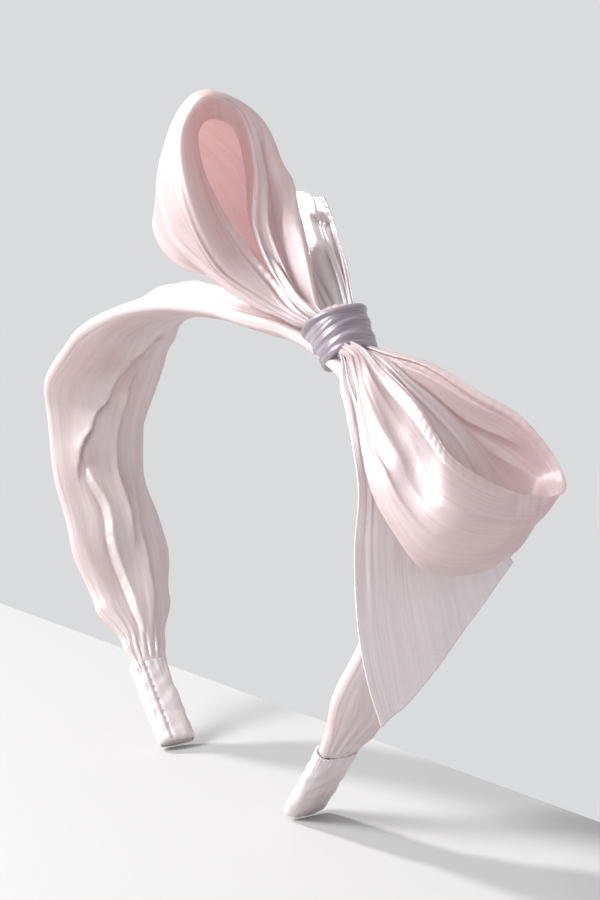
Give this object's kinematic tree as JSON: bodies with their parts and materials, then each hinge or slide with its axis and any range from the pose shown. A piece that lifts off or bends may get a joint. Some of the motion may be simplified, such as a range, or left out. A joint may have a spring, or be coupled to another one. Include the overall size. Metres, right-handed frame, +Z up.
{
  "type": "knotted headband",
  "caption": "Springy U-shaped headband in a gathered satin sleeve, with a large two-loop ribbon bow knotted on one side.",
  "frame": {"origin": "the point of the crown's inner face that rests on the middle of the head", "axes": "+X to the side with the bow, +Y to the back of the head, +Z up"},
  "size_m": [0.1903, 0.051, 0.1629],
  "materials": {
    "ribbon_satin": "silky organza satin, lit through, soft lengthwise sheen",
    "cap_satin": "the same satin pulled tight, slightly wrinkled",
    "knot_satin": "satin pulled tight round the knot, silvery sheen",
    "core_plastic": "smooth moulded plastic",
    "sewing_thread": "matt sewing thread"
  },
  "bodies": {
    "crown": {"core_crown": "core_plastic", "sleeve_crown": "ribbon_satin", "bow_gather": "ribbon_satin", "binding_thread": "sewing_thread", "knot_wrap": "knot_satin", "upper_tail": "ribbon_satin", "lower_tail_top": "ribbon_satin"},
    "left_arm": {"core_left_arm": "core_plastic", "sleeve_left_arm": "ribbon_satin", "tip_cap_left": "cap_satin"},
    "right_arm": {"core_right_arm": "core_plastic", "sleeve_right_arm": "ribbon_satin", "tip_cap_right": "cap_satin"},
    "upper_loop": {"upper_loop": "ribbon_satin"},
    "lower_loop": {"lower_loop": "ribbon_satin"},
    "lower_tail": {"lower_tail": "ribbon_satin"}
  },
  "joints": [
    {"name": "left_arm_spread", "type": "hinge", "parent": "crown", "child": "left_arm", "pos_m": [-0.07694, 0, -0.0109], "axis": [0, 1, 0], "range_deg": [0, 10], "stiffness_Nm_per_rad": 0.7},
    {"name": "right_arm_spread", "type": "hinge", "parent": "crown", "child": "right_arm", "pos_m": [0.07694, 0, -0.0109], "axis": [0, -1, 0], "range_deg": [0, 10], "stiffness_Nm_per_rad": 0.7},
    {"name": "upper_loop_lift", "type": "hinge", "parent": "crown", "child": "upper_loop", "pos_m": [0.05425, 0, 0.0053], "axis": [0, 1, 0], "range_deg": [0, 12]},
    {"name": "lower_loop_lift", "type": "hinge", "parent": "crown", "child": "lower_loop", "pos_m": [0.06485, 0, -0.0012], "axis": [0, -1, 0], "range_deg": [0, 10]},
    {"name": "lower_tail_swing", "type": "hinge", "parent": "crown", "child": "lower_tail", "pos_m": [0.08755, 0, -0.0239], "axis": [0, -1, 0], "range_deg": [0, 7]}
  ]
}
